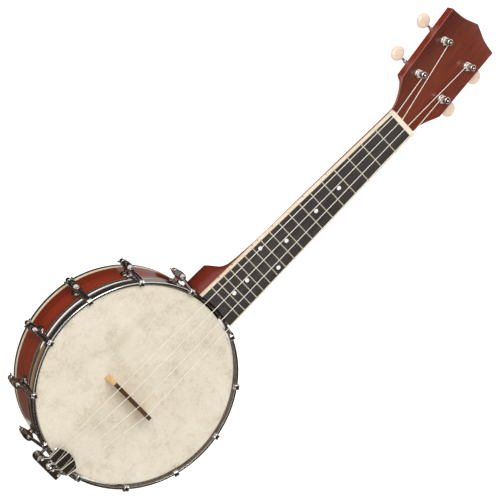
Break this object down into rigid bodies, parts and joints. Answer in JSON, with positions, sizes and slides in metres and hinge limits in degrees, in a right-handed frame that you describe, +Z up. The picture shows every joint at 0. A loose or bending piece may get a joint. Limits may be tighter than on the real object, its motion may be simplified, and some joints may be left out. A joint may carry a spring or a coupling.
{
  "type": "banjo ukulele",
  "caption": "Banjo ukulele lying face up: round wooden pot with a drum head under a chrome hoop, hooks with wing nuts, a fretted neck, and a tilted headstock with geared tuners.",
  "frame": {"origin": "Under the middle of the instrument's box, on the plane of the rim's open back that it lies on.", "axes": "+Z up out of the drum head, +Y along the neck from the tailpiece to the headstock, +X to the treble side."},
  "size_m": [0.2284, 0.6138, 0.0878],
  "materials": {
    "rim": "gloss",
    "neck": "gloss",
    "black_ply": "gloss",
    "cream_binding": "gloss",
    "head_film": "satin, mottled like calfskin",
    "chrome": "polished",
    "steel": "plated",
    "bridge_maple": "satin",
    "bridge_cap": "satin",
    "fingerboard": "satin, with bright nickel frets",
    "nut": "satin",
    "string_nylon": "translucent",
    "button_pearl": "gloss, pearly"
  },
  "bodies": {
    "instrument": {"rim": "rim", "rim_black_ply": "black_ply", "rim_binding": "cream_binding", "drum_head": "head_film", "flesh_hoop": "steel", "tension_hoop": "chrome", "hook_and_shoe_1": "chrome", "hook_and_shoe_2": "chrome", "hook_and_shoe_3": "chrome", "hook_and_shoe_4": "chrome", "hook_and_shoe_5": "chrome", "hook_and_shoe_6": "chrome", "hook_and_shoe_7": "chrome", "hook_and_shoe_8": "chrome", "hook_and_shoe_9": "chrome", "hook_and_shoe_10": "chrome", "hook_and_shoe_11": "chrome", "hook_and_shoe_12": "chrome", "coordinator_rod": "steel", "rod_nut": "steel", "tail_hanger_bolt": "steel", "hanger_nut": "chrome", "tailpiece": "chrome", "bridge_body": "bridge_maple", "bridge_cap": "bridge_cap", "fingerboard": "fingerboard", "board_binding_bass": "cream_binding", "board_binding_treble": "cream_binding", "nut": "nut", "neck": "neck", "string_1": "string_nylon", "string_2": "string_nylon", "string_3": "string_nylon", "string_4": "string_nylon", "tuner_housing_bass_near": "chrome", "tuner_housing_bass_far": "chrome", "tuner_housing_treble_far": "chrome", "tuner_housing_treble_near": "chrome"},
    "wing_nut_1": {"wing_nut_1": "chrome"},
    "wing_nut_2": {"wing_nut_2": "chrome"},
    "wing_nut_3": {"wing_nut_3": "chrome"},
    "wing_nut_4": {"wing_nut_4": "chrome"},
    "wing_nut_5": {"wing_nut_5": "chrome"},
    "wing_nut_6": {"wing_nut_6": "chrome"},
    "wing_nut_7": {"wing_nut_7": "chrome"},
    "wing_nut_8": {"wing_nut_8": "chrome"},
    "wing_nut_9": {"wing_nut_9": "chrome"},
    "wing_nut_10": {"wing_nut_10": "chrome"},
    "wing_nut_11": {"wing_nut_11": "chrome"},
    "wing_nut_12": {"wing_nut_12": "chrome"},
    "tuner_post_bass_near": {"tuner_post_bass_near": "chrome"},
    "tuner_button_bass_near": {"tuner_button_bass_near": "button_pearl"},
    "tuner_post_bass_far": {"tuner_post_bass_far": "chrome"},
    "tuner_button_bass_far": {"tuner_button_bass_far": "button_pearl"},
    "tuner_post_treble_far": {"tuner_post_treble_far": "chrome"},
    "tuner_button_treble_far": {"tuner_button_treble_far": "button_pearl"},
    "tuner_post_treble_near": {"tuner_post_treble_near": "chrome"},
    "tuner_button_treble_near": {"tuner_button_treble_near": "button_pearl"}
  },
  "joints": [
    {"name": "wing_nut_1_turn", "type": "hinge", "parent": "instrument", "child": "wing_nut_1", "pos_m": [-0.03287, -0.07771, 0.0203], "axis": [0, 0, 1], "continuous": true},
    {"name": "wing_nut_2_turn", "type": "hinge", "parent": "instrument", "child": "wing_nut_2", "pos_m": [-0.08209, -0.10811, 0.0203], "axis": [0, 0, 1], "continuous": true},
    {"name": "wing_nut_3_turn", "type": "hinge", "parent": "instrument", "child": "wing_nut_3", "pos_m": [-0.1097, -0.15896, 0.0203], "axis": [0, 0, 1], "continuous": true},
    {"name": "wing_nut_4_turn", "type": "hinge", "parent": "instrument", "child": "wing_nut_4", "pos_m": [-0.10838, -0.21679, 0.0203], "axis": [0, 0, 1], "continuous": true},
    {"name": "wing_nut_5_turn", "type": "hinge", "parent": "instrument", "child": "wing_nut_5", "pos_m": [-0.0785, -0.26633, 0.0203], "axis": [0, 0, 1], "continuous": true},
    {"name": "wing_nut_6_turn", "type": "hinge", "parent": "instrument", "child": "wing_nut_6", "pos_m": [-0.02795, -0.29447, 0.0203], "axis": [0, 0, 1], "continuous": true},
    {"name": "wing_nut_7_turn", "type": "hinge", "parent": "instrument", "child": "wing_nut_7", "pos_m": [0.02725, -0.29447, 0.0203], "axis": [0, 0, 1], "continuous": true},
    {"name": "wing_nut_8_turn", "type": "hinge", "parent": "instrument", "child": "wing_nut_8", "pos_m": [0.07683, -0.26726, 0.0203], "axis": [0, 0, 1], "continuous": true},
    {"name": "wing_nut_9_turn", "type": "hinge", "parent": "instrument", "child": "wing_nut_9", "pos_m": [0.10691, -0.21935, 0.0203], "axis": [0, 0, 1], "continuous": true},
    {"name": "wing_nut_10_turn", "type": "hinge", "parent": "instrument", "child": "wing_nut_10", "pos_m": [0.10987, -0.16287, 0.0203], "axis": [0, 0, 1], "continuous": true},
    {"name": "wing_nut_11_turn", "type": "hinge", "parent": "instrument", "child": "wing_nut_11", "pos_m": [0.08497, -0.11208, 0.0203], "axis": [0, 0, 1], "continuous": true},
    {"name": "wing_nut_12_turn", "type": "hinge", "parent": "instrument", "child": "wing_nut_12", "pos_m": [0.0385, -0.07983, 0.0203], "axis": [0, 0, 1], "continuous": true},
    {"name": "tuner_button_bass_near_turn", "type": "hinge", "parent": "instrument", "child": "tuner_button_bass_near", "pos_m": [-0.01985, 0.22774, 0.04731], "axis": [-1, 0, 0], "continuous": true},
    {"name": "tuner_post_bass_near_turn", "type": "hinge", "parent": "instrument", "child": "tuner_post_bass_near", "pos_m": [-0.01985, 0.22773, 0.06298], "axis": [0, 0.2164, 0.9763], "continuous": true},
    {"name": "tuner_button_bass_far_turn", "type": "hinge", "parent": "instrument", "child": "tuner_button_bass_far", "pos_m": [-0.01985, 0.26933, 0.03809], "axis": [-1, 0, 0], "continuous": true},
    {"name": "tuner_post_bass_far_turn", "type": "hinge", "parent": "instrument", "child": "tuner_post_bass_far", "pos_m": [-0.01985, 0.26932, 0.05376], "axis": [0, 0.2164, 0.9763], "continuous": true},
    {"name": "tuner_button_treble_far_turn", "type": "hinge", "parent": "instrument", "child": "tuner_button_treble_far", "pos_m": [0.01915, 0.26933, 0.03809], "axis": [1, 0, 0], "continuous": true},
    {"name": "tuner_post_treble_far_turn", "type": "hinge", "parent": "instrument", "child": "tuner_post_treble_far", "pos_m": [0.01915, 0.26932, 0.05376], "axis": [0, 0.2164, 0.9763], "continuous": true},
    {"name": "tuner_button_treble_near_turn", "type": "hinge", "parent": "instrument", "child": "tuner_button_treble_near", "pos_m": [0.01915, 0.22774, 0.04731], "axis": [1, 0, 0], "continuous": true},
    {"name": "tuner_post_treble_near_turn", "type": "hinge", "parent": "instrument", "child": "tuner_post_treble_near", "pos_m": [0.01915, 0.22773, 0.06298], "axis": [0, 0.2164, 0.9763], "continuous": true}
  ],
  "couplings": [
    {"joint": "tuner_post_bass_near_turn", "follows": "tuner_button_bass_near_turn", "ratio": 0.071429},
    {"joint": "tuner_post_bass_far_turn", "follows": "tuner_button_bass_far_turn", "ratio": 0.071429},
    {"joint": "tuner_post_treble_far_turn", "follows": "tuner_button_treble_far_turn", "ratio": -0.071429},
    {"joint": "tuner_post_treble_near_turn", "follows": "tuner_button_treble_near_turn", "ratio": -0.071429}
  ]
}
